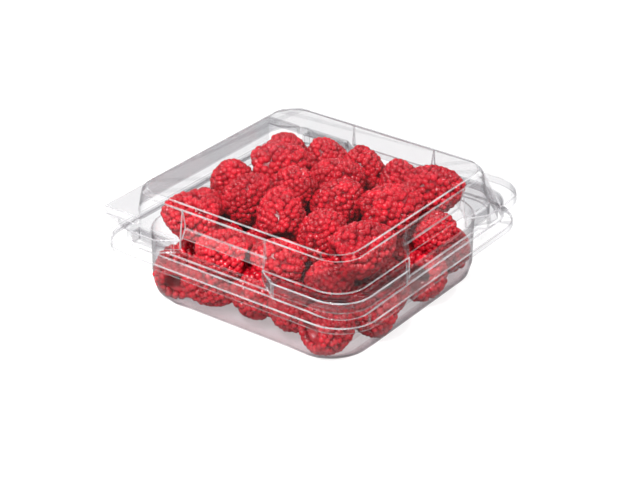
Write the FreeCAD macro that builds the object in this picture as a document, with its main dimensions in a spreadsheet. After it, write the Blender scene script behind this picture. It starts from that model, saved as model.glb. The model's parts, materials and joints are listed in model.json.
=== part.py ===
import FreeCAD
import Part
import Sketcher
import math
import os
import random

# Hinged clear plastic clamshell pack, closed, with its filling of raspberries.
# Z is up, the pack stands on Z = 0 with the middle of its foot at the origin,
# and the living hinge lies along X on the +Y side.

os.makedirs("parts", exist_ok=True)
doc = FreeCAD.newDocument("clamshell")
sheet = doc.addObject("Spreadsheet::Sheet", "Sizes")

# Driving dimensions in millimetres, "half" measured from the middle of the pack,
# and below them in quotes what follows from them
SIZES = {
    "sheet_thickness": 0.35,
    "crease_gap": 0.3,
    "seat_clearance": 0.25,
    "cut_overrun": 1.0,
    # tray bowl
    "bowl_half": 49.0,
    "bowl_corner": 20,
    "bowl_bottom_round": 9,
    "channel_height": 2.8,
    "channel_inset": 13,
    "channel_slope": 14,
    "channel_half_foot": "bowl_half - channel_inset",
    "channel_half_roof": "channel_half_foot - channel_slope",
    # tray rim, from the bowl outwards
    "rim_height": 27.6,
    "rim_width": 3.5,
    "rim_corner": 17,
    "rim_step_width": 2.4,
    "rim_step_corner": 16.5,
    "rim_step_drop": 0.6,
    "flange_width": 3.6,
    "flange_corner": 16,
    "flange_drop": 2.6,
    "lip_drop": 4.8,
    "lip_flare": 0.2,
    "rim_half": "bowl_half + rim_width",
    "rim_step_half": "rim_half + rim_step_width",
    "flange_half": "rim_step_half + flange_width",
    # lid flange and the skirt that hangs from it
    "lid_rise": 5.5,
    "lid_flange_inset": 2.8,
    "lid_flange_corner": 14,
    "skirt_height": 3.9,
    "skirt_flare": 0.3,
    "skirt_end_inset": 14.5,
    "lid_flange_height": "rim_height + lid_rise",
    "lid_flange_half": "flange_half - lid_flange_inset",
    "skirt_end": "flange_half - skirt_end_inset",
    # snap ridges that stand on the tray rim at the corners
    "ridge_wall_gap": 0.6,
    "ridge_skirt_gap": 0.45,
    "ridge_end_gap": 1.2,
    "ridge_root_depth": 1.5,
    # lid dome
    "dome_offset": 1.25,
    "dome_foot_corner": 12,
    "dome_height": 13.1,
    "dome_lean": 1.6,
    "shoulder_drop": 1.7,
    "shoulder_inset": 1.95,
    "shoulder_corner": 11.5,
    "top_corner": 10,
    "dome_foot_half": "bowl_half + dome_offset",
    "shoulder_half": "dome_foot_half - dome_lean",
    "top_half": "shoulder_half - shoulder_inset",
    "top_height": "lid_flange_height + dome_height",
    # side vents and the waist groove in the dome wall over each
    "vent_width": 37,
    "vent_slant": 10,
    "vent_rise": 0.3,
    "vent_edge_inset": 0.95,
    "groove_inset": 2.75,
    "groove_foot_rise": 3.3,
    "groove_length": 2.0,
    "front_vent_offset": 8,
    "left_vent_offset": 4.5,
    "right_vent_offset": -2.5,
    "vent_height": "lid_flange_height + vent_rise",
    "vent_edge_half": "dome_foot_half - vent_edge_inset",
    "groove_half": "dome_foot_half - groove_inset",
    "groove_foot_height": "vent_height + groove_foot_rise",
    "groove_top_height": "groove_foot_height + groove_length",
    # raised hinge flange, hinge web and opening tab
    "hinge_half_length": 50,
    "hinge_reach": 1.2,
    "hinge_foot_drop": 2.0,
    "raised_step": 3.2,
    "tab_reach": 0.5,
    "tab_corner": 15,
    "tab_depth": 15.94,
    "tab_taper": 0.2,
    "crease_line": "flange_half + hinge_reach",
    "hinge_foot_height": "rim_height - hinge_foot_drop",
    "raised_height": "lid_flange_height + raised_step",
    "tab_half": "flange_half + tab_reach",
    "tab_diagonal": "tab_half * sqrt(2) - tab_depth",
    # raspberries: usual width, free space round each, and the hollow that the stalk leaves
    "berry_width": 18.5,
    "berry_clearance": 0.15,
    "core_mouth_width": 7,
    "core_end_width": 4,
    "core_depth": 12,
}

for row, (alias, amount) in enumerate(SIZES.items(), start=1):
    sheet.set("A%d" % row, alias)
    sheet.set("B%d" % row, "=" + amount if isinstance(amount, str) else str(amount))
    sheet.setAlias("B%d" % row, alias)
doc.recompute()
LENGTHS = {alias: float(sheet.get(alias)) for alias in SIZES}


def tied(expression):
    """The expression with each name of a size turned into its cell of the sheet"""
    words = expression.replace("(", "( ").replace(")", " )").split()
    return " ".join("Sizes." + word if word in SIZES else word for word in words)


def size(expression):
    """Number that an expression gives, worked out in a cell of the sheet"""
    size.row += 1
    cell = "D%d" % size.row
    sheet.set(cell, "=" + expression)
    sheet.recompute()
    return float(sheet.get(cell))


size.row = 0


def tie(thing, **sizes):
    """Bind properties of an object to the sheet; a double underscore stands for a dot"""
    for key, expression in sizes.items():
        thing.setExpression(key.replace("__", "."), tied(expression))


def polygon(name, corners, level="0"):
    """Sketch of a closed polygon whose corners are pairs of expressions, with a minus sign where negative"""
    sketch = doc.addObject("Sketcher::SketchObject", name)
    count = len(corners)
    places = [[size(words.lstrip("-")) for words in corner] for corner in corners]
    signs = [[-1 if words.startswith("-") else 1 for words in corner] for corner in corners]
    spots = [FreeCAD.Vector(signs[i][0] * places[i][0], signs[i][1] * places[i][1], 0) for i in range(count)]
    for i in range(count):
        sketch.addGeometry(Part.LineSegment(spots[i], spots[(i + 1) % count]), False)
    for i in range(count):
        sketch.addConstraint(Sketcher.Constraint("Coincident", i, 2, (i + 1) % count, 1))
    for i in range(count):
        for axis, kind in enumerate(("DistanceX", "DistanceY")):
            ends = (-1, 1, i, 1) if signs[i][axis] > 0 else (i, 1, -1, 1)
            index = sketch.addConstraint(Sketcher.Constraint(kind, *ends, places[i][axis]))
            sketch.setExpression("Constraints[%d]" % index, tied(corners[i][axis].lstrip("-")))
    tie(sketch, Placement__Base__z=level)
    return sketch


def rounded_square(name, half, corner, level):
    """Sketch of a square with rounded corners at a height, all three given as expressions"""
    sketch = doc.addObject("Sketcher::SketchObject", name)
    tie(sketch, Placement__Base__z=level)
    reach = size(half)
    bend = size(corner)
    middle = reach - bend
    for turn in range(4):
        spin = FreeCAD.Rotation(FreeCAD.Vector(0, 0, 1), 90 * turn)
        start = spin.multVec(FreeCAD.Vector(-middle, -reach, 0))
        end = spin.multVec(FreeCAD.Vector(middle, -reach, 0))
        centre = spin.multVec(FreeCAD.Vector(middle, -middle, 0))
        sketch.addGeometry(Part.LineSegment(start, end), False)
        circle = Part.Circle(centre, FreeCAD.Vector(0, 0, 1), bend)
        angle = math.radians(90 * turn - 90)
        sketch.addGeometry(Part.ArcOfCircle(circle, angle, angle + math.pi / 2), False)
    for i in range(8):
        sketch.addConstraint(Sketcher.Constraint("Tangent", i, 2, (i + 1) % 8, 1))
    for side in (0, 4):
        sketch.addConstraint(Sketcher.Constraint("Horizontal", side))
    for side in (2, 6):
        sketch.addConstraint(Sketcher.Constraint("Vertical", side))
    radius = sketch.addConstraint(Sketcher.Constraint("Radius", 1, bend))
    right = sketch.addConstraint(Sketcher.Constraint("DistanceX", -1, 1, 1, 3, middle))
    front = sketch.addConstraint(Sketcher.Constraint("DistanceY", 1, 3, -1, 1, middle))
    left = sketch.addConstraint(Sketcher.Constraint("DistanceX", 5, 3, -1, 1, middle))
    back = sketch.addConstraint(Sketcher.Constraint("DistanceY", -1, 1, 5, 3, middle))
    sketch.setExpression("Constraints[%d]" % radius, tied(corner))
    for index in (right, front, left, back):
        sketch.setExpression("Constraints[%d]" % index, tied("( %s ) - ( %s )" % (half, corner)))
    return sketch


def loft(name, rings):
    """Straight-sided solid through rounded squares, each a half width, a corner radius and a height"""
    solid = doc.addObject("Part::Loft", name)
    solid.Sections = [rounded_square("%s_ring_%d" % (name, i), *ring) for i, ring in enumerate(rings)]
    solid.Solid = True
    solid.Ruled = True
    return solid


def fuse(name, *pieces):
    solid = doc.addObject("Part::MultiFuse", name)
    solid.Shapes = list(pieces)
    return solid


def cut(name, base, *tools):
    for i, tool in enumerate(tools):
        solid = doc.addObject("Part::Cut", name if i == len(tools) - 1 else "%s_%d" % (name, i))
        solid.Base = base
        solid.Tool = tool
        base = solid
    return base


def common(name, *pieces):
    solid = doc.addObject("Part::MultiCommon", name)
    solid.Shapes = list(pieces)
    return solid


def block(name, left, right, near, far, low, high):
    """Box between six planes, each an expression"""
    solid = doc.addObject("Part::Box", name)
    tie(solid, Length="( %s ) - ( %s )" % (right, left), Width="( %s ) - ( %s )" % (far, near),
        Height="( %s ) - ( %s )" % (high, low))
    tie(solid, Placement__Base__x=left, Placement__Base__y=near, Placement__Base__z=low)
    return solid


def extrude(name, sketch, length, both_ways=False):
    solid = doc.addObject("Part::Extrusion", name)
    solid.Base = sketch
    solid.DirMode = "Normal"
    solid.Solid = True
    solid.Symmetric = both_ways
    tie(solid, LengthFwd=length)
    return solid


# Each vented side: the way it faces and where the middle of its vent lies along it
SIDES = {
    "front": (FreeCAD.Vector(0, -1, 0), "x", "front_vent_offset"),
    "left": (FreeCAD.Vector(-1, 0, 0), "y", "left_vent_offset"),
    "right": (FreeCAD.Vector(1, 0, 0), "y", "right_vent_offset"),
}
UP = FreeCAD.Vector(0, 0, 1)
# Flats that stand for the rounding of the bowl's bottom edge
ROUND_FLATS = 3


def plan_turn(outward):
    """Turn that lays a sketch's second axis along the outward way of a side, its first along the side"""
    return FreeCAD.Rotation(outward.cross(UP), outward, UP, "ZXY")


def section_turn(outward):
    """Turn that lays a sketch's first axis outwards and its second upwards"""
    return FreeCAD.Rotation(outward, UP, outward.cross(UP), "XYZ")


def vent_blocks(name, inner, spare, low, high):
    """Space of the vents: straight at the dome wall, slanting wider out to the skirt"""
    solids = []
    for side, (outward, axis, offset) in SIDES.items():
        near = "vent_width / 2 + %s" % spare
        far = "vent_width / 2 + vent_slant + %s" % spare
        sketch = polygon("%s_%s_plan" % (name, side), [
            ("-( %s )" % near, inner), (near, inner), (near, "dome_foot_half"),
            (far, "lid_flange_half + skirt_flare + cut_overrun"),
            ("-( %s )" % far, "lid_flange_half + skirt_flare + cut_overrun"), ("-( %s )" % near, "dome_foot_half")], low)
        sketch.Placement.Rotation = plan_turn(outward)
        tie(sketch, **{"Placement__Base__" + axis: offset})
        solids.append(extrude("%s_%s" % (name, side), sketch, "( %s ) - ( %s )" % (high, low)))
    return fuse(name, *solids)


def groove_blocks(name, inset):
    """Waist grooves over the vents, drawn as a section and run along each vent"""
    solids = []
    beyond = "dome_foot_half + cut_overrun"
    shoulder = "top_height - shoulder_drop"
    below = "vent_height - 2 * cut_overrun"
    for side, (outward, axis, offset) in SIDES.items():
        sketch = polygon("%s_%s_section" % (name, side), [
            ("shoulder_half - " + inset, shoulder), ("groove_half - " + inset, "groove_top_height"),
            ("groove_half - " + inset, "groove_foot_height"), ("vent_edge_half - " + inset, "vent_height"),
            ("vent_edge_half - " + inset, below), (beyond, below), (beyond, shoulder)])
        sketch.Placement.Rotation = section_turn(outward)
        tie(sketch, **{"Placement__Base__" + axis: offset})
        solids.append(extrude("%s_%s" % (name, side), sketch, "vent_width + 2 * ( %s )" % inset, both_ways=True))
    return fuse(name, *solids)


def bowl(name, inset, top):
    """Bowl with a bottom edge rounded by a few flats, drawn in by an inset all round"""
    rings = []
    for step in range(ROUND_FLATS + 1):
        angle = math.pi / 2 * step / ROUND_FLATS
        shrink = "( bowl_bottom_round - %s ) * %.5f" % (inset, 1 - math.sin(angle))
        rise = "( bowl_bottom_round - %s ) * %.5f" % (inset, 1 - math.cos(angle))
        rings.append(("bowl_half - %s - %s" % (inset, shrink), "bowl_corner - %s - %s" % (inset, shrink),
                      "%s + %s" % (inset, rise)))
    rings.append(("bowl_half - " + inset, "bowl_corner - " + inset, top))
    return loft(name, rings)


def foot_channel(name, rise):
    """Shallow channel pressed up into the bottom, running the whole way along X, drawn from a little below it"""
    widening = "( channel_half_foot - channel_half_roof ) / channel_height"
    foot = "( channel_half_foot + ( cut_overrun + %s ) * %s )" % (rise, widening)
    roof = "( channel_height + %s )" % rise
    sketch = polygon(name + "_section", [
        ("-" + foot, "-cut_overrun"), (foot, "-cut_overrun"), ("channel_half_roof", roof), ("-channel_half_roof", roof)])
    sketch.Placement.Rotation = FreeCAD.Rotation(FreeCAD.Vector(1, 1, 1), 120)
    return extrude(name, sketch, "4 * bowl_half", both_ways=True)


def ridge_band(name, inset, low, high):
    """Ring that the lid's channel covers, before it is cut into its corner lengths"""
    outer = "lid_flange_half - sheet_thickness - ridge_skirt_gap - " + inset
    outer_corner = "lid_flange_corner - sheet_thickness - ridge_skirt_gap - " + inset
    inner = "dome_foot_half + ridge_wall_gap + " + inset
    inner_corner = "dome_foot_corner + ridge_wall_gap + " + inset
    outside = loft(name + "_outside", [
        ("skirt_flare + " + outer, outer_corner, low), (outer, outer_corner, high)])
    inside = loft(name + "_inside", [(inner, inner_corner, low), (inner, inner_corner, high)])
    ends = vent_blocks(name + "_ends", "bowl_half", "ridge_end_gap + sheet_thickness + " + inset, low, high)
    reach = "2 * flange_half"
    hinge_side = block(name + "_hinge_side", "-1 * " + reach, reach,
                       "skirt_end - ridge_end_gap - " + inset, reach, low, high)
    return cut(name, outside, inside, ends, hinge_side)


def make_tray():
    """Bowl with its rim, flange and lip, and the snap ridges at its corners"""
    wall = "sheet_thickness"
    rim_over = loft("rim_over", [
        ("flange_half + lip_flare", "flange_corner", "rim_height - lip_drop"),
        ("flange_half", "flange_corner", "rim_height - flange_drop"),
        ("rim_step_half", "rim_step_corner", "rim_height - rim_step_drop"),
        ("rim_half", "rim_corner", "rim_height")])
    rim_under = loft("rim_under", [
        ("flange_half + lip_flare - " + wall, "flange_corner - " + wall, "rim_height - lip_drop - cut_overrun"),
        ("flange_half - " + wall, "flange_corner - " + wall, "rim_height - flange_drop - " + wall),
        ("rim_step_half - sheet_thickness / 4", "rim_step_corner", "rim_height - rim_step_drop - " + wall),
        ("rim_half", "rim_corner", "rim_height - " + wall)])
    ridge_top = "lid_flange_height - sheet_thickness - seat_clearance"
    ridge_over = ridge_band("ridge_over", "0", "rim_height - ridge_root_depth", ridge_top)
    ridge_under = ridge_band("ridge_under", wall, "rim_height - lip_drop - cut_overrun", ridge_top + " - " + wall)
    hinge_tongue = block("hinge_tongue", "-1 * hinge_half_length", "hinge_half_length", "rim_step_half + cut_overrun",
                         "crease_line - crease_gap", "hinge_foot_height - " + wall, "hinge_foot_height")
    rim = cut("rim", fuse("rim_over_all", rim_over, ridge_over), fuse("rim_under_all", rim_under, ridge_under))
    outside = cut("bowl_outside", bowl("bowl_over", "0", "rim_height"), foot_channel("channel_under", "0"))
    inside = cut("bowl_inside", bowl("bowl_hollow", wall, "rim_height + cut_overrun"), foot_channel("channel_over", wall))
    tray = cut("base_tray", fuse("tray_outside", rim, outside, hinge_tongue), inside)
    tray.Label = "base_tray"
    return tray


def tab_block(name, inset, low, high):
    """Corner lobe of the lid flange that a finger lifts"""
    lobe = loft(name + "_lobe", [
        ("tab_half - " + inset, "tab_corner - " + inset, low),
        ("tab_half - tab_taper - " + inset, "tab_corner - " + inset, high)])
    half = doc.addObject("Part::Box", name + "_corner")
    tie(half, Length="tab_half", Width="2 * tab_half", Height="top_height")
    half.Placement.Rotation = FreeCAD.Rotation(UP, -45)
    tie(half, Placement__Base__x="( tab_diagonal + %s ) / sqrt(2) - tab_half * sqrt(2) / 2" % inset)
    tie(half, Placement__Base__y="-1 * ( tab_diagonal + %s ) / sqrt(2) - tab_half * sqrt(2) / 2" % inset)
    return common(name, lobe, half)


def make_lid():
    """Dome with its grooves, corner flanges and skirts, raised hinge flange and tab"""
    wall = "sheet_thickness"
    dome_over = loft("dome_over", [
        ("dome_foot_half", "dome_foot_corner", "lid_flange_height"),
        ("shoulder_half", "shoulder_corner", "top_height - shoulder_drop"),
        ("top_half", "top_corner", "top_height")])
    dome_under = loft("dome_under", [
        ("dome_foot_half - " + wall, "dome_foot_corner - " + wall, "lid_flange_height - " + wall),
        ("shoulder_half - " + wall, "shoulder_corner - " + wall, "top_height - shoulder_drop - sheet_thickness / 4"),
        ("top_half - sheet_thickness / 2", "top_corner - sheet_thickness / 2", "top_height - " + wall)])
    skirt_foot = "lid_flange_height - skirt_height"
    skirt_over = loft("skirt_over", [
        ("lid_flange_half + skirt_flare", "lid_flange_corner", skirt_foot),
        ("lid_flange_half", "lid_flange_corner", "lid_flange_height")])
    skirt_under = loft("skirt_under", [
        ("lid_flange_half + skirt_flare - " + wall, "lid_flange_corner - " + wall, skirt_foot + " - cut_overrun"),
        ("lid_flange_half - " + wall, "lid_flange_corner - " + wall, "lid_flange_height - " + wall)])
    vents = vent_blocks("vents", "bowl_half / 2", "0", skirt_foot + " - 2 * cut_overrun", "vent_height")
    vent_walls = vent_blocks("vent_walls", "dome_foot_half - " + wall, wall, skirt_foot + " - 2 * cut_overrun", "vent_height")
    raised_over = block("raised_over", "-1 * hinge_half_length", "hinge_half_length", "skirt_end",
                        "crease_line - crease_gap", "lid_flange_height - " + wall, "raised_height")
    raised_under = block("raised_under", "-1 * hinge_half_length + " + wall, "hinge_half_length - " + wall,
                         "skirt_end", "crease_line + cut_overrun", skirt_foot + " - cut_overrun", "raised_height - " + wall)
    no_skirt = block("no_skirt", "-2 * flange_half", "2 * flange_half", "skirt_end", "2 * flange_half",
                     skirt_foot + " - cut_overrun", "lid_flange_height - " + wall)
    tab_over = tab_block("tab_over", "0", "lid_flange_height - " + wall, "raised_height")
    tab_under = tab_block("tab_under", wall, skirt_foot + " - cut_overrun", "raised_height - " + wall)
    dome = cut("dome_outside", dome_over, groove_blocks("grooves", "0"))
    skirt = cut("skirt_outside", skirt_over, vents)
    hollow = cut("dome_inside", dome_under, groove_blocks("groove_backs", wall))
    gutter = cut("skirt_inside", skirt_under, vent_walls)
    outside = cut("lid_outside", fuse("lid_over_all", dome, skirt, raised_over, tab_over), vents)
    lid = cut("lid", outside, fuse("lid_under_all", hollow, gutter, raised_under, no_skirt, tab_under))
    lid.Label = "lid"
    return lid


def make_hinge_web():
    """Strip between the two creases of the living hinge"""
    web = block("hinge_web", "-1 * hinge_half_length", "hinge_half_length",
                "crease_line - sheet_thickness / 2", "crease_line + sheet_thickness / 2",
                "hinge_foot_height - sheet_thickness / 2 + crease_gap",
                "raised_height - sheet_thickness / 2 - crease_gap")
    web.Label = "hinge_web"
    return web


# Corner rings of a berry from its open end to its tip: shares of its length and of its half width
BERRY_OUTLINE = ((0, 0.54), (0.28, 0.93), (0.6, 0.84), (0.86, 0.5), (1, 0.17))
BERRY_SIDES = 7
# How far each drupelet's crown stands out of the four corners round it, as a share of the width
CROWN_SHARE = 0.055
# Two balls that hold that outline, used to lay the berries: shares of length and half width
BERRY_BALLS = ((0.36, 1), (0.64, 0.88))
BERRY_MIDDLE = 0.49
# Share of the balls' radii at which two berries meet, since flat sides lie inside their balls
BERRY_SNUG = 0.915

# Lower berries, in rings along the wall: places in shares of the bowl's half width,
# sizes in shares of the usual berry's width
LOWER_ROWS = 2
LOWER_STEP = 0.388
LOWER_HEIGHT = 0.215
LOWER_TILTS = (60, 75, 90, 105)
LOWER_WIDTHS = (0.93, 0.995)
LOWER_LENGTHS = (1.005, 1.1)
# Berries hidden inside the heap: x, y, z, tilt of the tip from upright, width and length
INNER_BERRIES = (
    (-0.265, -0.245, 0.245, 15, 1.055, 1.19),
    (0.245, -0.265, 0.245, 15, 1.055, 1.19),
    (-0.245, 0.265, 0.245, 15, 1.055, 1.19),
    (0.265, 0.245, 0.245, 15, 1.055, 1.19),
    (0.59, 0.57, 0.47, 60, 0.946, 1.054),
    (0.61, -0.04, 0.47, 90, 0.946, 1.054),
    (0.04, 0.59, 0.47, 30, 0.946, 1.054),
    (0, -0.04, 0.51, 60, 0.946, 1.054),
    (0.61, -0.61, 0.47, 60, 0.946, 1.054),
    (0.04, -0.59, 0.47, 30, 0.946, 1.054),
)
# Berries in view on top of the heap: x, y, z, tilt of the tip, heading of the tip, width and length
UPPER_BERRIES = (
    (0.81, 0.69, 0.67, 30, 200, 0.97, 1.14),
    (0.28, 0.55, 0.72, 80, 310, 1.11, 1.32),
    (0.82, 0.02, 0.71, 12, 60, 1.05, 1.19),
    (0.84, 0.37, 0.61, 30, 100, 0.95, 1.08),
    (-0.09, 0.71, 0.67, 25, 200, 0.97, 1.11),
    (-0.30, 0.90, 0.62, 50, 170, 1.00, 1.14),
    (-0.67, 0.80, 0.62, 80, 120, 1.05, 1.19),
    (-0.20, 0.53, 0.63, 40, 300, 0.97, 1.11),
    (-0.44, 0.37, 0.59, 60, 250, 0.97, 1.11),
    (-0.08, 0.20, 0.61, 50, 40, 1.00, 1.14),
    (0.27, 0.25, 0.61, 60, 240, 0.97, 1.14),
    (0.64, 0.08, 0.63, 70, 290, 1.00, 1.14),
    (0.22, -0.11, 0.63, 40, 300, 1.00, 1.11),
    (0.22, -0.51, 0.65, 72, 320, 1.08, 1.30),
    (0.84, -0.32, 0.59, 40, 60, 0.95, 1.08),
    (-0.30, -0.33, 0.65, 20, 230, 1.08, 1.14),
    (-0.30, -0.84, 0.63, 75, 330, 1.08, 1.30),
    (-0.55, -0.16, 0.49, 70, 120, 0.97, 1.11),
    (-0.58, -0.56, 0.43, 60, 200, 0.95, 1.08),
    (-0.88, 0.36, 0.49, 80, 110, 0.97, 1.11),
    (0.53, -0.73, 0.58, 60, 200, 0.97, 1.11),
    (0.77, -0.67, 0.73, 80, 306, 1.05, 1.24),
)

# How the berries settle, in shares of the usual berry's width: sinking steps, then steps that part them
SINK_STEPS = 400
PART_STEPS = 250
SINK_START = 0.0054
SINK_END = 0.0016
HOLD_LOWER = 0.02
HOLD_UPPER = 0.06
HOLD_HEIGHT = 0.4
PART_SHARE = 0.35
REACH = 1.65


def wanted_berries():
    """Every berry as x, y, z, tilt, heading, width and length, the ones in view last"""
    chance = random.Random(7)
    wall = LENGTHS["bowl_half"]
    usual = LENGTHS["berry_width"]
    berries = []
    for row in range(-LOWER_ROWS, LOWER_ROWS + 1):
        for column in range(-LOWER_ROWS, LOWER_ROWS + 1):
            if max(abs(row), abs(column)) == LOWER_ROWS:
                tilt = chance.choice(LOWER_TILTS)
                heading = chance.uniform(0, 360)
                width = chance.uniform(*LOWER_WIDTHS)
                length = chance.uniform(*LOWER_LENGTHS)
                berries.append((column * LOWER_STEP * wall, row * LOWER_STEP * wall, LOWER_HEIGHT * wall,
                                tilt, heading, width * usual, length * usual))
    for x, y, z, tilt, width, length in INNER_BERRIES:
        berries.append((x * wall, y * wall, z * wall, tilt, chance.uniform(0, 360), width * usual, length * usual))
    for x, y, z, tilt, heading, width, length in UPPER_BERRIES:
        berries.append((x * wall, y * wall, z * wall, tilt, heading, width * usual, length * usual))
    return berries


def berry_balls(berry):
    """Balls of a berry, each a place relative to its middle and a radius"""
    tilt, heading, width, length = berry[3:]
    lean = math.radians(tilt)
    turn = math.radians(heading)
    way = (math.sin(lean) * math.cos(turn), math.sin(lean) * math.sin(turn), math.cos(lean))
    balls = []
    for share, radius_share in BERRY_BALLS:
        step = (share - BERRY_MIDDLE) * length
        balls.append((way[0] * step, way[1] * step, way[2] * step, radius_share * width / 2))
    return balls


def floor_height(y):
    """Height of the bowl's floor, which steps up over the channel under it"""
    slope = (LENGTHS["channel_half_foot"] - abs(y)) / (LENGTHS["channel_half_foot"] - LENGTHS["channel_half_roof"])
    return LENGTHS["sheet_thickness"] + LENGTHS["channel_height"] * min(max(slope, 0), 1)


def push_inside(x, y, z, radius):
    """How far a ball must move to be clear of the bowl, the lid's grooves and the lid's top"""
    need = radius + LENGTHS["berry_clearance"]
    wall = LENGTHS["sheet_thickness"]
    half = LENGTHS["bowl_half"] if z < LENGTHS["rim_height"] else LENGTHS["groove_half"]
    straight = half - LENGTHS["bowl_corner"]
    over_x = max(abs(x) - straight, 0)
    over_y = max(abs(y) - straight, 0)
    if over_x > 0 and over_y > 0:
        out = math.hypot(over_x, over_y)
        side = LENGTHS["bowl_corner"] - wall - out
        inward = (-math.copysign(over_x / out, x), -math.copysign(over_y / out, y))
    elif abs(x) > abs(y):
        side = half - wall - abs(x)
        inward = (-math.copysign(1, x), 0)
    else:
        side = half - wall - abs(y)
        inward = (0, -math.copysign(1, y))
    rise = z - floor_height(y)
    bend = LENGTHS["bowl_bottom_round"] - wall
    if side < bend and rise < bend and radius < bend:
        reach = math.hypot(bend - side, bend - rise)
        lack = max(need - (bend - reach), 0)
        sideways = lack * (bend - side) / reach
        upwards = lack * (bend - rise) / reach
    else:
        sideways = max(need - side, 0)
        upwards = max(need - rise, 0)
    ceiling = LENGTHS["top_height"] - wall - need
    return inward[0] * sideways, inward[1] * sideways, upwards + min(ceiling - z, 0)


def settle(berries):
    """Middles of the berries once they have sunk and lie on the floor and on each other"""
    spots = [list(berry[:3]) for berry in berries]
    balls = [berry_balls(berry) for berry in berries]
    hidden = len(berries) - len(UPPER_BERRIES) - len(INNER_BERRIES)
    usual = LENGTHS["berry_width"]
    for step in range(SINK_STEPS + PART_STEPS):
        sinking = step < SINK_STEPS
        if sinking:
            weight = SINK_START + (SINK_END - SINK_START) * step / SINK_STEPS
        else:
            weight = SINK_END * (1 - (step - SINK_STEPS) / PART_STEPS)
        shifts = [[0, 0, -weight * usual] for _ in spots]
        for i, berry in enumerate(berries):
            hold = (HOLD_LOWER if i < hidden else HOLD_UPPER) if sinking else 0
            shifts[i][0] += hold * (berry[0] - spots[i][0])
            shifts[i][1] += hold * (berry[1] - spots[i][1])
            shifts[i][2] += HOLD_HEIGHT * hold * (berry[2] - spots[i][2])
            for j in range(i + 1, len(berries)):
                part_balls(spots, balls, shifts, i, j)
        for spot, shift, group in zip(spots, shifts, balls):
            for axis in range(3):
                spot[axis] += shift[axis]
            for x, y, z, radius in group:
                push = push_inside(spot[0] + x, spot[1] + y, spot[2] + z, radius)
                for axis in range(3):
                    spot[axis] += push[axis]
    return spots


def part_balls(spots, balls, shifts, i, j):
    """Add to the shifts of two berries what moves their balls apart"""
    way = [spots[i][axis] - spots[j][axis] for axis in range(3)]
    if sum(step * step for step in way) > (REACH * LENGTHS["berry_width"]) ** 2:
        return
    for first in balls[i]:
        for second in balls[j]:
            gap = [way[axis] + first[axis] - second[axis] for axis in range(3)]
            need = BERRY_SNUG * (first[3] + second[3]) + LENGTHS["berry_clearance"]
            apart = math.sqrt(gap[0] * gap[0] + gap[1] * gap[1] + gap[2] * gap[2])
            if apart < need:
                share = PART_SHARE * (need - apart) / apart
                for axis in range(3):
                    shifts[i][axis] += share * gap[axis]
                    shifts[j][axis] -= share * gap[axis]


def ring_corners(radius, height, turn):
    """Corners of a many-sided ring, turned about the axis by a share of one side"""
    angles = [math.tau * (i + turn) / BERRY_SIDES for i in range(BERRY_SIDES)]
    return [FreeCAD.Vector(radius * math.cos(angle), radius * math.sin(angle), height) for angle in angles]


def flat_faced(outlines):
    """Solid closed by flat faces, each given as its corners"""
    faces = [Part.Face(Part.makePolygon(outline + outline[:1])) for outline in outlines]
    return Part.Solid(Part.makeShell(faces))


def beaded(rings, crown):
    """Solid through rings whose every four-cornered field stands out as the crown of a drupelet"""
    loops = [ring_corners(radius, height, step / 2) for step, (radius, height) in enumerate(rings)]
    outlines = [loops[0], loops[-1]]
    for under, over in zip(loops, loops[1:]):
        for i in range(BERRY_SIDES):
            after = (i + 1) % BERRY_SIDES
            field = [under[i], under[after], over[after], over[i]]
            out = (field[2] - field[0]).cross(field[3] - field[1]).normalize()
            top = (field[0] + field[1] + field[2] + field[3]) / 4 + out * crown
            for k in range(4):
                outlines.append([field[k], field[(k + 1) % 4], top])
    return flat_faced(outlines)


def stalk_hollow(low):
    """Tapered hollow that the stalk leaves, from the open end inwards"""
    mouth = ring_corners(LENGTHS["core_mouth_width"] / 2, low, 0)
    end = ring_corners(LENGTHS["core_end_width"] / 2, low + LENGTHS["core_depth"], 0)
    walls = [[mouth[i], mouth[i - 1], end[i - 1], end[i]] for i in range(BERRY_SIDES)]
    return flat_faced([mouth, end] + walls)


def make_berry(number, spot, berry):
    """Picked raspberry: a blunt cone of drupelets with the stalk's hollow in its open end"""
    tilt, heading, width, length = berry[3:]
    low = -BERRY_MIDDLE * length
    body = beaded([(share * width / 2, low + along * length) for along, share in BERRY_OUTLINE], CROWN_SHARE * width)
    thing = doc.addObject("Part::Feature", "raspberry_%02d" % number)
    thing.Shape = body.cut(stalk_hollow(low))
    spin = FreeCAD.Rotation(UP, heading).multiply(FreeCAD.Rotation(FreeCAD.Vector(0, 1, 0), tilt))
    thing.Placement = FreeCAD.Placement(FreeCAD.Vector(*spot), spin)
    thing.Label = thing.Name
    return thing


pieces = [make_tray(), make_hinge_web(), make_lid()]
wanted = wanted_berries()
for number, (spot, berry) in enumerate(zip(settle(wanted), wanted), start=1):
    pieces.append(make_berry(number, spot, berry))
doc.recompute()

for thing in doc.Objects:
    if "Invalid" in thing.State or "Error" in thing.State:
        raise RuntimeError("%s failed to build: %s" % (thing.Name, thing.State))
for piece in pieces:
    if piece.Shape.isNull() or not piece.Shape.isValid() or len(piece.Shape.Solids) != 1:
        raise RuntimeError("%s is not one sound solid" % piece.Label)
for piece in pieces:
    piece.Shape.exportStep("parts/%s.step" % piece.Label)
    print(piece.Label, round(piece.Shape.Volume, 1), "mm3")
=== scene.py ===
import bpy
import json
import math
import random
from bpy.props import FloatProperty, FloatVectorProperty, IntProperty, PointerProperty
from mathutils import Matrix, Vector

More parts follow.
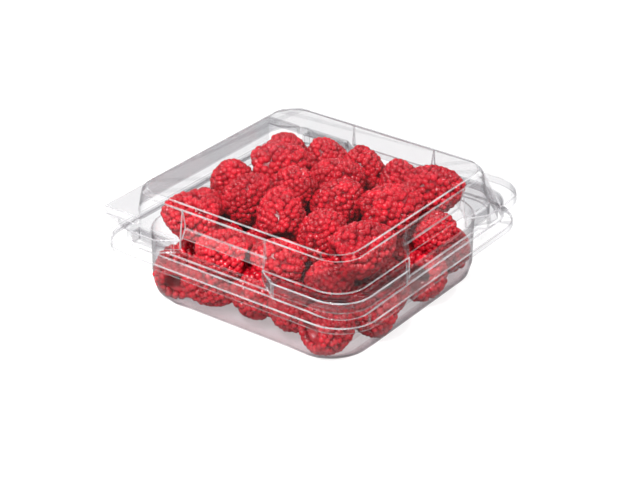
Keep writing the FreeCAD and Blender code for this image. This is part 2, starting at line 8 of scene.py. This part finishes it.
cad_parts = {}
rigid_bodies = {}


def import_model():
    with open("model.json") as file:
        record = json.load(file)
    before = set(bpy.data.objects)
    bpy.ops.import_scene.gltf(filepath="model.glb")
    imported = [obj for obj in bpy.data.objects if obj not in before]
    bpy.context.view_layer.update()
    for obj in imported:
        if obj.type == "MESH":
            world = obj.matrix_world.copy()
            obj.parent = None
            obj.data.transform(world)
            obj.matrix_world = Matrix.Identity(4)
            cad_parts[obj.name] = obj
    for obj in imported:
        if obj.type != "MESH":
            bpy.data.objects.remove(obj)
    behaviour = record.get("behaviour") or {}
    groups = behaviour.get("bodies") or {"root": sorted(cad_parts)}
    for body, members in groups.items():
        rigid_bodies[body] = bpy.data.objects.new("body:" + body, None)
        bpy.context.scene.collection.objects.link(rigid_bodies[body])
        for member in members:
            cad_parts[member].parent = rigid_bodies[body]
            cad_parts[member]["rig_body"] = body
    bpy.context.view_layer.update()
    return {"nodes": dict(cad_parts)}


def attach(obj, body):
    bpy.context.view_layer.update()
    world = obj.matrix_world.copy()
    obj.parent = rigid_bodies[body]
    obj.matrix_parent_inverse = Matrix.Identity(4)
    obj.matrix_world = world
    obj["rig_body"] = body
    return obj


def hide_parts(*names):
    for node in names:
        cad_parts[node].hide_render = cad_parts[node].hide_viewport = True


bl_info = {
    "name": "Raspberry Punnet",
    "version": (1, 0, 0),
    "blender": (4, 5, 0),
    "location": "3D View > Sidebar > Punnet",
    "description": "Clear hinged punnet filled with raspberries",
    "category": "Object",
}

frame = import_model()


# ---------------------------------------------------------------- the sheet

# Corners closer than this are one, and a bend under this angle is flat
JOIN_GAP = 0.000005
FLAT_ANGLE = math.radians(0.6)
# Least bend of a crease, and the bend over which two faces meet in a sharp line
CREASE_ANGLE = math.radians(14)
SHARP_ANGLE = math.radians(35)
CREASE_SEGMENTS = 3
# Width under which a face is the cut edge of the sheet, and its share of a crease's rounding
CUT_EDGE = 0.0006
CUT_EDGE_ROUNDING = 0.3
# Height under which the bowl is one smooth round
SMOOTH_FOOT = 0.0095
# Heights between which the foot's painted red light bounced from the fruit and its milkiness fade
# out
FOOT_FADE = (0.002, 0.011)
# How late the sheet darkens, turns milky and mirrors as the view slants: powers of the slant
DARKENING, MILKINESS, MIRRORING = 3, 9, 5
# How far the painted grey line in a crease darkens the sheet, standing in for the dark
# surroundings that the crease mirrors
CREASE_PAINTED_GREY = 0.4
# Share of light that the sheet mirrors when looked at straight, and what edge on adds
MIRROR_STRAIGHT, MIRROR_EDGE = 0.022, 0.5
# White of the milky haze, and of the painted highlight in the creases
MILKY_AND_HIGHLIGHT_WHITE = (0.5, 0.49, 0.5, 1)
# What the sheet lets through of the lamps' light
LAMP_WAY = (0.91, 0.905, 0.91, 1)


# ---------------------------------------------------------------- the berries

# Profile of a raspberry from the lip of its hollow, round its shoulder, to its tip:
# shares of its length and of its half width
BERRY_PROFILE = (
    (0.07, 0.42), (0.02, 0.5), (0.0, 0.62), (0.035, 0.76), (0.12, 0.885),
    (0.22, 0.95), (0.32, 0.98), (0.46, 0.97), (0.58, 0.905), (0.7, 0.79),
    (0.8, 0.655), (0.88, 0.5), (0.94, 0.34), (0.98, 0.17), (1.0, 0.02))
# Steps in which each stretch of it is measured
PROFILE_STEPS = 24
# The core follows the profile outside the lip, at these shares of the berry's width and length
CORE_PROFILE = BERRY_PROFILE[2:]
CORE_WIDTH, CORE_LENGTH, CORE_MIDDLE = 0.86, 0.93, 0.49
# On a core that is 2 high: the top of its mouth, and the steps of the hollow with how far each
# goes in and how much it narrows
CORE_MOUTH = -0.93
HOLLOW_STEPS = ((0.25, 0.62), (0.8, 0.6))
# The room of the hollow there, from and to which height and how wide, and its mix from the painted
# shade colour to the skin colour
HOLLOW_FROM, HOLLOW_TO, HOLLOW_HALF = -0.95, 0.6, 0.5
HOLLOW_SHADE_MIX = 0.6
# Painted shade on a drupelet: its mix from the shade colour between drupelets to the skin colour
# at its middle, and how fast it rises to the unshaded skin of its crown
MIDDLE_SHADE_MIX, SHADE_LIFT_RISE = 0.25, 0.9
GOLDEN_TURN = math.pi * (3 - math.sqrt(5))
# Ground that a drupelet takes up, as a share of its spacing squared
DRUPELET_GROUND = 0.866
# How drupelets differ: their number, their radius as a share of the spacing, their turn, how
# deep they sit and how far they stick out as shares of the radius
NUMBER_SPREAD = (-10, 8)
RADIUS_SPREAD = (0.54, 0.67)
TURN_SPREAD = (-0.15, 0.15)
SINK_SPREAD = (0.86, 1.1)
STRETCH_SPREAD = (1.0, 1.12)
SHAPE_SEED, LAY_SEED = 3, 5
# Widest corner of a berry's solid as a share of the berry's half width
SOLID_SHARE = 0.9
# Corners of a solid within the first gap are level, and within the second lie on one end
LEVEL_GAP, END_GAP = 0.00006, 0.0001
# Bottom berries, whose middle lies under this height, and how far they are pressed wider
BOTTOM_LAYER = 0.015
SQUEEZE = 1.1


# ---------------------------------------------------------------- the stage

# What the sheets mirror: bright bands round the room, as sine of the height and brightness
ROOM_BANDS = (
    (0.19, 0.01), (0.23, 1), (0.36, 1), (0.4, 0.01), (0.6, 0.01), (0.615, 1),
    (0.655, 1), (0.67, 0.01), (0.785, 0.01), (0.8, 1), (0.83, 1), (0.845, 0.01))
BAND_STRENGTH = 3.2
SOFT_LIGHT = 0.95
WHITE = (1, 1, 1, 1)
# The sheets lie many deep, and each must let the view through
SHEETS_DEEP = 40
FLOOR_SIZE = 8
FLOOR_GREY = (0.3, 0.3, 0.3, 1)
FLOOR_GLOW = 0.78
# Name, place, size and power of each lamp
LAMPS = (
    ("key_lamp", (-0.55, -0.1, 0.75), 0.14, 12),
    ("fill_lamp", (0.3, -0.8, 0.6), 0.2, 1.6),
    ("back_lamp", (0.35, 0.7, 0.6), 0.2, 2.5))
# Point that the camera looks at, width of its film, its shift and how far it sees
AIM = Vector((0, 0, 0.0193))
FILM_WIDTH = 36
LENS_SHIFT = 0.0096
VIEW_END = 20


# ---------------------------------------------------------------- settings

class PunnetSheetSettings(bpy.types.PropertyGroup):
    crease_rounding: FloatProperty(
        name="Crease rounding",
        description="Width of the rounding along each crease of the formed sheet",
        default=0.0004, min=0, unit="LENGTH")
    tint: FloatVectorProperty(
        name="Tint", description="Colour that the clear sheet lets through",
        subtype="COLOR", size=4, default=(0.951, 0.95, 0.952, 1))
    edge_tint: FloatVectorProperty(
        name="Edge tint", description="Colour that it lets through where it is looked at edge on",
        subtype="COLOR", size=4, default=(0.7, 0.7, 0.72, 1))
    # Painted red light bounced from the fruit onto the foot of the bowl
    foot_painted_bounce: FloatVectorProperty(
        name="Foot tint", description="Blush that the fruit gives the foot of the bowl",
        subtype="COLOR", size=4, default=(1, 0.94, 0.945, 1))
    haze: FloatProperty(
        name="Haze", description="Share of milky white in the sheet",
        default=0.001, min=0, max=1)
    edge_haze: FloatProperty(
        name="Edge haze", description="Share of milky white added where it is looked at edge on",
        default=0.6, min=0, max=1)
    # Painted highlight: milky white laid in the creases for the lamps' light caught there
    crease_painted_highlight: FloatProperty(
        name="Crease painted highlight",
        description="Share of milky white that the light caught in a crease adds",
        default=0.32, min=0, max=1)
    foot_haze: FloatProperty(
        name="Foot haze", description="Share of milky white added at the foot of the bowl",
        default=0.1, min=0, max=1)
    roughness: FloatProperty(
        name="Roughness", description="Roughness of the sheet's surface",
        default=0.05, min=0, max=1)


class PunnetBerrySettings(bpy.types.PropertyGroup):
    drupelets: IntProperty(
        name="Drupelets", description="Number of drupelets on one berry", default=215, min=20)
    shapes: IntProperty(
        name="Shapes", description="Number of different berries that are modelled and copied",
        default=6, min=1)
    width: FloatProperty(
        name="Width", description="Width of a modelled berry before it is fitted",
        default=0.018, unit="LENGTH")
    length: FloatProperty(
        name="Length", description="Length of a modelled berry before it is fitted",
        default=0.021, unit="LENGTH")
    skin: FloatVectorProperty(
        name="Skin", description="Colour of the crown of a drupelet",
        subtype="COLOR", size=4, default=(0.6, 0.008, 0.022, 1))
    # Painted shade: the colour deep between the drupelets, where light hardly reaches
    crevice_shade: FloatVectorProperty(
        name="Crevice", description="Colour deep between the drupelets",
        subtype="COLOR", size=4, default=(0.26, 0.002, 0.01, 1))


class PunnetStageSettings(bpy.types.PropertyGroup):
    lens: FloatProperty(name="Lens", description="Focal length in millimetres", default=112.04)
    distance: FloatProperty(
        name="Distance", description="From the camera to the pack",
        default=0.75052, unit="LENGTH")
    azimuth: FloatProperty(
        name="Azimuth", description="Turn of the camera round the pack",
        default=-0.938847, subtype="ANGLE")
    elevation: FloatProperty(
        name="Elevation", description="Height of the camera's view",
        default=0.488482, subtype="ANGLE")
    roll: FloatProperty(
        name="Roll", description="Tilt of the camera about its own view",
        default=0.006376, subtype="ANGLE")


# ---------------------------------------------------------------- shader helpers

def feed(tree, node, inputs):
    """Gives each input its plain value, or links it to the output that feeds it"""
    for name, value in inputs.items():
        if isinstance(value, bpy.types.NodeSocket):
            tree.links.new(value, node.inputs[name])
        else:
            node.inputs[name].default_value = value
    return node


def add(tree, kind, inputs, **settings):
    """New node with those settings and inputs"""
    node = tree.nodes.new("ShaderNode" + kind)
    for name, value in settings.items():
        setattr(node, name, value)
    return feed(tree, node, inputs)


def reckon(tree, operation, *terms, clamp=False):
    """Result of a sum whose terms are numbers or outputs"""
    return add(tree, "Math", dict(enumerate(terms)),
               operation=operation, use_clamp=clamp).outputs["Value"]


def tinted(tree, share, first, second, way="MIX"):
    """Mix of two colours, the second at that share"""
    return add(tree, "Mix", {"Factor": share, "A": first, "B": second},
               data_type="RGBA", blend_type=way).outputs["Result"]


def blended(tree, share, first, second):
    """Mix of two shaders, the second at that share"""
    return add(tree, "MixShader", {"Fac": share, 1: first, 2: second}).outputs["Shader"]


def ramp(tree, share, stops):
    """Colour that runs through those places and colours"""
    node = add(tree, "ValToRGB", {"Fac": share})
    elements = node.color_ramp.elements
    for element, (place, colour) in zip(elements, (stops[0], stops[-1])):
        element.position = place
        element.color = colour
    for place, colour in stops[1:-1]:
        elements.new(place).color = colour
    return node.outputs["Color"]


# ---------------------------------------------------------------- materials

def clear_sheet_material(settings):
    """Clear thermoformed sheet: glossy, slightly wavy, greyer and milkier where it is looked at
    edge on, with a painted highlight and a painted grey line in its creases, and milky at the foot
    of the bowl, where red light bounced from the fruit is painted"""
    material = bpy.data.materials.new("clear_sheet")
    material.use_nodes = True
    tree = material.node_tree
    tree.nodes.clear()
    place = add(tree, "TexCoord", {}).outputs["Object"]
    waves = add(tree, "TexNoise", {"Vector": place, "Scale": 110, "Detail": 1}).outputs["Fac"]
    bump = add(tree, "Bump", {"Height": waves, "Strength": 0.15, "Distance": 0.0006}
               ).outputs["Normal"]
    crease = add(tree, "Attribute", {}, attribute_name="crease").outputs["Fac"]
    height = add(tree, "SeparateXYZ", {"Vector": place}).outputs["Z"]
    foot = add(tree, "MapRange", {
        "Value": height, "From Min": FOOT_FADE[0], "From Max": FOOT_FADE[1],
        "To Min": 1, "To Max": 0}, interpolation_type="SMOOTHSTEP").outputs["Result"]
    slant = add(tree, "LayerWeight", {"Blend": 0.5}).outputs["Facing"]

    # Painted grey line along each crease for the dark surroundings it mirrors, on top of the grey
    # of a slanting view
    darker = reckon(tree, "MULTIPLY_ADD", crease, CREASE_PAINTED_GREY,
                    reckon(tree, "POWER", slant, DARKENING), clamp=True)
    through = tinted(tree, darker, settings.tint, settings.edge_tint)
    # Painted red light bounced from the fruit, at the foot of the bowl
    through = tinted(tree, foot, through, settings.foot_painted_bounce, way="MULTIPLY")
    clear = add(tree, "BsdfTransparent", {"Color": through}).outputs["BSDF"]

    milky = reckon(tree, "MULTIPLY_ADD", foot, settings.foot_haze, settings.haze)
    # Painted highlight: milky white in the creases, patchy with the waves, for the lamps' light
    # caught there
    crease_highlight_patches = reckon(tree, "MULTIPLY", waves, 2 * settings.crease_painted_highlight)
    milky = reckon(tree, "MULTIPLY_ADD", crease, crease_highlight_patches, milky)
    milky = reckon(tree, "MULTIPLY_ADD", reckon(tree, "POWER", slant, MILKINESS),
                   settings.edge_haze, milky)
    white = add(tree, "BsdfDiffuse", {"Color": MILKY_AND_HIGHLIGHT_WHITE}).outputs["BSDF"]
    body = blended(tree, milky, clear, white)

    rippled = add(tree, "LayerWeight", {"Blend": 0.5, "Normal": bump}).outputs["Facing"]
    shine = reckon(tree, "MULTIPLY_ADD", reckon(tree, "POWER", rippled, MIRRORING),
                   MIRROR_EDGE, MIRROR_STRAIGHT)
    gloss = add(tree, "BsdfGlossy", {"Roughness": settings.roughness, "Normal": bump}
                ).outputs["BSDF"]
    sheet = blended(tree, shine, body, gloss)

    lamp_way = add(tree, "BsdfTransparent", {"Color": LAMP_WAY}).outputs["BSDF"]
    rays = add(tree, "LightPath", {}).outputs
    carries = reckon(tree, "MAXIMUM", rays["Is Shadow Ray"], rays["Is Diffuse Ray"])
    add(tree, "OutputMaterial", {"Surface": blended(tree, carries, sheet, lamp_way)})
    return material


def berry_material(settings):
    """Ripe raspberry skin: glossy red crowns with fine hairs, with painted shade between the
    drupelets
    """
    material = bpy.data.materials.new("raspberry_skin")
    material.use_nodes = True
    tree = material.node_tree
    place = add(tree, "TexCoord", {}).outputs["Object"]
    patches = add(tree, "TexNoise", {"Vector": place, "Scale": 260, "Detail": 2}).outputs["Fac"]
    hairs = add(tree, "TexNoise", {"Vector": place, "Scale": 2600, "Detail": 3}).outputs["Fac"]
    # Painted shade: the colour between the drupelets, fading to the skin colour at their crowns
    crown = add(tree, "Attribute", {}, attribute_name="crown").outputs["Fac"]
    painted_shade_skin = tinted(tree, crown, settings.crevice_shade, settings.skin)
    ripeness = ramp(tree, patches, ((0.3, (0.62, 0.45, 0.5, 1)), (0.7, (1.25, 1.3, 1.25, 1))))
    feed(tree, tree.nodes["Principled BSDF"], {
        "Base Color": tinted(tree, 1, painted_shade_skin, ripeness, way="MULTIPLY"),
        "Roughness": 0.2,
        "Specular IOR Level": 0.5,
        "Normal": add(tree, "Bump", {"Height": hairs, "Strength": 0.35, "Distance": 0.0003}
                      ).outputs["Normal"]})
    return material


def floor_material():
    """White paper that takes the pack's shadow"""
    material = bpy.data.materials.new("floor_paper")
    material.use_nodes = True
    tree = material.node_tree
    paper = feed(tree, tree.nodes["Principled BSDF"], {
        "Base Color": FLOOR_GREY, "Roughness": 0.9, "Specular IOR Level": 0})
    seen = add(tree, "LightPath", {}).outputs["Is Camera Ray"]
    glow = add(tree, "Emission", {
        "Color": WHITE, "Strength": reckon(tree, "MULTIPLY", seen, FLOOR_GLOW)})
    both = add(tree, "AddShader", {0: paper.outputs["BSDF"], 1: glow.outputs["Emission"]})
    feed(tree, tree.nodes["Material Output"], {"Surface": both.outputs["Shader"]})
    return material


# ---------------------------------------------------------------- formed sheets

def only(thing):
    """Leaves that object alone selected and active"""
    bpy.ops.object.select_all(action="DESELECT")
    thing.select_set(True)
    bpy.context.view_layer.objects.active = thing
    return thing


def dress(thing, material):
    thing.data.materials.clear()
    thing.data.materials.append(material)
    return thing


def edge_length(mesh, key):
    return (mesh.vertices[key[0]].co - mesh.vertices[key[1]].co).length


def weigh_creases(mesh):
    """Marks how wide each edge is rounded: full at a crease, little at the cut edge, and not at
    all where the sheet is flat or in the smooth foot"""
    faces_at = {}
    rims = set()
    for face in mesh.polygons:
        for key in face.edge_keys:
            faces_at.setdefault(key, []).append(face)
        if 2 * face.area < CUT_EDGE * sum(edge_length(mesh, key) for key in face.edge_keys):
            rims.add(face.index)
    weights = mesh.attributes.new("bevel_weight_edge", "FLOAT", "EDGE")
    for edge in mesh.edges:
        sides = faces_at[edge.key]
        if max(mesh.vertices[end].co.z for end in edge.key) < SMOOTH_FOOT:
            continue
        if len(sides) == 2 and sides[0].normal.angle(sides[1].normal) > CREASE_ANGLE:
            cut_edge = sides[0].index in rims or sides[1].index in rims
            weights.data[edge.index].value = CUT_EDGE_ROUNDING if cut_edge else 1


def formed_sheet(node, settings, material):
    """Copy of a formed sheet, its loose facets joined and its creases rounded and marked"""
    source = frame["nodes"][node]
    thing = bpy.data.objects.new(node + "_sheet", source.data.copy())
    bpy.context.scene.collection.objects.link(thing)
    dress(only(thing), material)
    bpy.ops.object.mode_set(mode="EDIT")
    bpy.ops.mesh.select_all(action="SELECT")
    bpy.ops.mesh.remove_doubles(threshold=JOIN_GAP)
    bpy.ops.mesh.dissolve_limited(angle_limit=FLAT_ANGLE)
    bpy.ops.object.mode_set(mode="OBJECT")
    weigh_creases(thing.data)
    bpy.ops.object.material_slot_add()
    round_off = thing.modifiers.new("creases", "BEVEL")
    round_off.width = settings.crease_rounding
    round_off.segments = CREASE_SEGMENTS
    round_off.limit_method = "WEIGHT"
    round_off.use_clamp_overlap = False
    round_off.material = 1
    bpy.ops.object.modifier_apply(modifier=round_off.name)
    crease = thing.data.attributes.new("crease", "FLOAT", "FACE")
    for face in thing.data.polygons:
        crease.data[face.index].value = face.material_index
        face.material_index = 0
    bpy.ops.object.material_slot_remove()
    bpy.ops.object.shade_smooth_by_angle(angle=SHARP_ANGLE)
    flats = thing.modifiers.new("flats", "WEIGHTED_NORMAL")
    flats.mode = "FACE_AREA"
    flats.weight = 100
    flats.keep_sharp = True
    bpy.ops.object.modifier_apply(modifier=flats.name)
    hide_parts(node)
    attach(thing, source["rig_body"])


# ---------------------------------------------------------------- raspberries

def profile_spots(count, width, length):
    """Places and outward ways in a berry's half section that share its skin out evenly, and the
    spacing of the drupelets there"""
    points = [Vector((share * width / 2, 0, along * length)) for along, share in BERRY_PROFILE]
    fine = []
    for start, end in zip(points, points[1:]):
        fine += [start.lerp(end, i / PROFILE_STEPS) for i in range(PROFILE_STEPS)]
    fine.append(points[-1])
    area = [0]
    for start, end in zip(fine, fine[1:]):
        area.append(area[-1] + (end - start).length * (start.x + end.x))
    spots = []
    at = 0
    for i in range(count):
        want = (i + 0.5) / count * area[-1]
        while area[at + 1] < want:
            at += 1
        low, high = max(at - PROFILE_STEPS, 0), min(at + PROFILE_STEPS, len(fine) - 1)
        along = (fine[high] - fine[low]).normalized()
        spots.append((fine[at], Vector((along.z, 0, -along.x))))
    return spots, math.sqrt(area[-1] * math.pi / count / DRUPELET_GROUND)


def core_half(height):
    """Half width of the core at a height from -1 to 1"""
    rise = (height + 1) / 2
    last = len(CORE_PROFILE) - 2
    place = next(i for i in range(last + 1) if rise <= CORE_PROFILE[i + 1][0] or i == last)
    (low, low_half), (high, high_half) = CORE_PROFILE[place:place + 2]
    share = (rise - low) / (high - low)
    return low_half + (high_half - low_half) * share


def in_hollow(corner):
    """Whether a corner of the core, 2 high, lies in its hollow"""
    return (HOLLOW_FROM < corner.z < HOLLOW_TO
            and math.hypot(corner.x, corner.y) < HOLLOW_HALF)


def berry_core(settings):
    """Flesh under the drupelets, hollow at the end where the stalk was"""
    bpy.ops.mesh.primitive_uv_sphere_add(segments=20, ring_count=14, radius=1)
    core = bpy.context.object
    for vertex in core.data.vertices:
        flat = math.hypot(vertex.co.x, vertex.co.y)
        if flat > 0.001:
            half = core_half(vertex.co.z)
            vertex.co.x *= half / flat
            vertex.co.y *= half / flat
    # Painted shade: the core takes the colour between the drupelets, and its hollow is lifted part
    # way to the skin colour
    core.data.attributes.new("crown", "FLOAT", "POINT")
    bpy.ops.object.mode_set(mode="EDIT")
    bpy.ops.mesh.select_mode(type="FACE")
    bpy.ops.mesh.select_all(action="DESELECT")
    bpy.ops.object.mode_set(mode="OBJECT")
    for face in core.data.polygons:
        face.select = face.center.z < CORE_MOUTH
    bpy.ops.object.mode_set(mode="EDIT")
    for deeper, narrower in HOLLOW_STEPS:
        bpy.ops.mesh.extrude_region_move(TRANSFORM_OT_translate={"value": (0, 0, deeper)})
        bpy.ops.transform.resize(value=(narrower, narrower, 1))
    bpy.ops.mesh.select_all(action="SELECT")
    bpy.ops.mesh.normals_make_consistent(inside=False)
    bpy.ops.object.mode_set(mode="OBJECT")
    for vertex in core.data.vertices:
        if in_hollow(vertex.co):
            core.data.attributes["crown"].data[vertex.index].value = HOLLOW_SHADE_MIX
    half_width = settings.width / 2 * CORE_WIDTH
    core.data.transform(Matrix.Diagonal((half_width, half_width,
                                         settings.length / 2 * CORE_LENGTH, 1)))
    core.data.transform(Matrix.Translation((0, 0, settings.length * CORE_MIDDLE)))
    return core


def drupelet():
    """One drupelet, with painted shade at each corner that lifts from its middle to its crown"""
    bpy.ops.mesh.primitive_uv_sphere_add(segments=7, ring_count=5, radius=1)
    bead = bpy.context.object
    crown = bead.data.attributes.new("crown", "FLOAT", "POINT")
    for vertex in bead.data.vertices:
        tone = MIDDLE_SHADE_MIX + vertex.co.z * SHADE_LIFT_RISE
        crown.data[vertex.index].value = min(max(tone, 0), 1)
    return bead


def berry_shape(settings, number):
    """One raspberry standing on its open end at the origin"""
    chance = random.Random(number + SHAPE_SEED)
    core = berry_core(settings)
    bead = drupelet()
    count = settings.drupelets + chance.randint(*NUMBER_SPREAD)
    spots, spacing = profile_spots(count, settings.width, settings.length)
    beads = []
    for i, (place, outward) in enumerate(spots):
        radius = spacing * chance.uniform(*RADIUS_SPREAD)
        turn = Matrix.Rotation(i * GOLDEN_TURN + chance.uniform(*TURN_SPREAD), 4, "Z")
        sink = radius * chance.uniform(*SINK_SPREAD)
        middle = Matrix.Translation(place - outward * sink)
        tilt = outward.to_track_quat("Z", "Y").to_matrix().to_4x4()
        tall = radius * chance.uniform(*STRETCH_SPREAD)
        copy = bpy.data.objects.new("bead", bead.data)
        bpy.context.scene.collection.objects.link(copy)
        copy.matrix_world = turn @ middle @ tilt @ Matrix.Diagonal((radius, radius, tall, 1))
        beads.append(copy)
    bpy.data.objects.remove(bead)
    only(core)
    for copy in beads:
        copy.select_set(True)
    bpy.ops.object.join()
    bpy.ops.object.shade_smooth()
    core.name = "berry_shape_%d" % number
    return core


def berry_axis(solid):
    """How a berry lies, read off its solid: the middle of its mouth, the way to its tip, its
    length and its half width"""
    mesh = solid.data
    corners = {tuple(round(value, 6) for value in vertex.co) for vertex in mesh.vertices}
    corners = [Vector(corner) for corner in corners]
    ways = {tuple(round(value, 2) for value in face.normal): face.normal.copy()
            for face in mesh.polygons}
    best = None
    for way in ways.values():
        levels = sorted(corner.dot(way) for corner in corners)
        steps = 1 + sum(1 for low, high in zip(levels, levels[1:]) if high - low > LEVEL_GAP)
        if best is None or steps < best[0]:
            best = (steps, way)
    way = best[1].normalized()
    levels = [corner.dot(way) for corner in corners]
    low, high = min(levels), max(levels)
    at_low = sum(1 for level in levels if level - low < END_GAP)
    at_high = sum(1 for level in levels if high - level < END_GAP)
    if at_low < at_high:
        way, low, high = -way, -high, -low
    ends = [corner for corner in corners if abs(corner.dot(way) - low) < END_GAP]
    mouth = sum(ends, Vector()) / len(ends)
    half = max((corner - mouth - way * (corner - mouth).dot(way)).length for corner in corners)
    return mouth, way, high - low, half / SOLID_SHARE


def plump(berry):
    """Widens a bottom berry along the wall that it lies at, so that it presses on its
    neighbours"""
    corners = [vertex.co for vertex in berry.data.vertices]
    low = Vector(min(corner[axis] for corner in corners) for axis in range(3))
    high = Vector(max(corner[axis] for corner in corners) for axis in range(3))
    middle = (low + high) / 2
    if middle.z > BOTTOM_LAYER:
        return
    along_x = abs(middle.y) >= abs(middle.x)
    pivot = Matrix.Translation((middle.x, middle.y, low.z))
    wider = Matrix.Diagonal((SQUEEZE if along_x else 1, 1 if along_x else SQUEEZE, SQUEEZE, 1))
    berry.data.transform(pivot @ wider @ pivot.inverted())


# ---------------------------------------------------------------- stage

def make_floor():
    bpy.ops.object.select_all(action="DESELECT")
    bpy.ops.mesh.primitive_plane_add(size=FLOOR_SIZE)
    floor = bpy.context.object
    floor.name = "floor"
    dress(floor, floor_material())


def make_world(scene):
    """White behind the pack, soft light all round, and bright bands for the sheets to mirror"""
    world = bpy.data.worlds.new("studio")
    world.use_nodes = True
    scene.world = world
    tree = world.node_tree
    soft = feed(tree, tree.nodes["Background"], {"Color": WHITE, "Strength": SOFT_LIGHT})
    white = add(tree, "Background", {"Color": WHITE})
    place = add(tree, "TexCoord", {}).outputs["Generated"]
    height = add(tree, "SeparateXYZ", {"Vector": place}).outputs["Z"]
    room = ramp(tree, height, [(sine, (bright, bright, bright, 1)) for sine, bright in ROOM_BANDS])
    band = add(tree, "Background", {"Color": room, "Strength": BAND_STRENGTH})
    rays = add(tree, "LightPath", {}).outputs
    mirrored = blended(tree, rays["Is Glossy Ray"],
                       soft.outputs["Background"], band.outputs["Background"])
    seen = blended(tree, rays["Is Camera Ray"], mirrored, white.outputs["Background"])
    feed(tree, tree.nodes["World Output"], {"Surface": seen})
    scene.cycles.transparent_max_bounces = SHEETS_DEEP


def make_lamps(scene):
    for name, spot, size, power in LAMPS:
        lamp = bpy.data.lights.new(name, "AREA")
        lamp.size = size
        lamp.energy = power
        holder = bpy.data.objects.new(name, lamp)
        scene.collection.objects.link(holder)
        holder.matrix_world = (Matrix.Translation(spot)
                               @ Vector(spot).to_track_quat("Z", "Y").to_matrix().to_4x4())


def make_camera(scene, settings):
    """Camera that looks down on the pack's front corner"""
    around, above = settings.azimuth, settings.elevation
    back = Vector((math.sin(around) * math.cos(above), -math.cos(around) * math.cos(above),
                   math.sin(above)))
    right = Vector((math.cos(around), math.sin(around), 0))
    up = back.cross(right)
    side = right * math.cos(settings.roll) + up * math.sin(settings.roll)
    top = up * math.cos(settings.roll) - right * math.sin(settings.roll)
    spot = AIM + back * settings.distance
    lens = bpy.data.cameras.new("photo_camera")
    lens.lens = settings.lens
    lens.sensor_width = FILM_WIDTH
    lens.shift_x = LENS_SHIFT
    lens.clip_end = VIEW_END
    camera = bpy.data.objects.new("photo_camera", lens)
    scene.collection.objects.link(camera)
    camera.matrix_world = Matrix((
        (side.x, top.x, back.x, spot.x), (side.y, top.y, back.y, spot.y),
        (side.z, top.z, back.z, spot.z), (0, 0, 0, 1)))
    scene.camera = camera


# ---------------------------------------------------------------- operators

class PUNNET_OT_sheet(bpy.types.Operator):
    """Makes the clear tray, hinge strip and lid"""
    bl_idname = "punnet.sheet"
    bl_label = "Clear Sheet"

    def execute(self, context):
        settings = context.scene.punnet_sheet
        material = clear_sheet_material(settings)
        for node in ("base_tray", "lid"):
            formed_sheet(node, settings, material)
        dress(frame["nodes"]["hinge_web"], material)
        return {"FINISHED"}


class PUNNET_OT_berries(bpy.types.Operator):
    """Models a few raspberries and fills the tray with copies of them"""
    bl_idname = "punnet.berries"
    bl_label = "Raspberries"

    def execute(self, context):
        settings = context.scene.punnet_berry
        material = berry_material(settings)
        shapes = [dress(berry_shape(settings, i), material) for i in range(settings.shapes)]
        chance = random.Random(LAY_SEED)
        nodes = sorted(name for name in frame["nodes"] if name.startswith("raspberry"))
        for i, name in enumerate(nodes):
            mouth, way, length, half = berry_axis(frame["nodes"][name])
            berry = bpy.data.objects.new(name + "_fruit", shapes[i % len(shapes)].data.copy())
            context.scene.collection.objects.link(berry)
            wide, tall = half * 2 / settings.width, length / settings.length
            berry.data.transform(
                Matrix.Translation(mouth) @ way.to_track_quat("Z", "Y").to_matrix().to_4x4()
                @ Matrix.Rotation(chance.uniform(0, math.tau), 4, "Z")
                @ Matrix.Diagonal((wide, wide, tall, 1)))
            plump(berry)
            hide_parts(name)
            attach(berry, "base")
        for shape in shapes:
            bpy.data.objects.remove(shape)
        return {"FINISHED"}


class PUNNET_OT_stage(bpy.types.Operator):
    """Sets the floor, the lamps, the world and the camera"""
    bl_idname = "punnet.stage"
    bl_label = "Stage"

    def execute(self, context):
        make_floor()
        make_world(context.scene)
        make_lamps(context.scene)
        make_camera(context.scene, context.scene.punnet_stage)
        context.scene.view_settings.view_transform = "Standard"
        return {"FINISHED"}


class PUNNET_PT_panel(bpy.types.Panel):
    """Sizes, colours and makers of the punnet"""
    bl_idname = "PUNNET_PT_panel"
    bl_label = "Raspberry Punnet"
    bl_space_type = "VIEW_3D"
    bl_region_type = "UI"
    bl_category = "Punnet"

    def draw(self, context):
        for group, maker in (("punnet_sheet", "punnet.sheet"),
                             ("punnet_berry", "punnet.berries"),
                             ("punnet_stage", "punnet.stage")):
            settings = getattr(context.scene, group)
            box = self.layout.box()
            for name in settings.bl_rna.properties.keys():
                if name not in ("rna_type", "name"):
                    box.prop(settings, name)
            box.operator(maker)


CLASSES = (PunnetSheetSettings, PunnetBerrySettings, PunnetStageSettings,
           PUNNET_OT_sheet, PUNNET_OT_berries, PUNNET_OT_stage, PUNNET_PT_panel)


def register():
    for item in CLASSES:
        bpy.utils.register_class(item)
    bpy.types.Scene.punnet_sheet = PointerProperty(type=PunnetSheetSettings)
    bpy.types.Scene.punnet_berry = PointerProperty(type=PunnetBerrySettings)
    bpy.types.Scene.punnet_stage = PointerProperty(type=PunnetStageSettings)


def unregister():
    del bpy.types.Scene.punnet_stage
    del bpy.types.Scene.punnet_berry
    del bpy.types.Scene.punnet_sheet
    for item in reversed(CLASSES):
        bpy.utils.unregister_class(item)


def main():
    register()
    bpy.ops.punnet.sheet()
    bpy.ops.punnet.berries()
    bpy.ops.punnet.stage()
    bpy.context.view_layer.update()


if __name__ == "__main__":
    main()
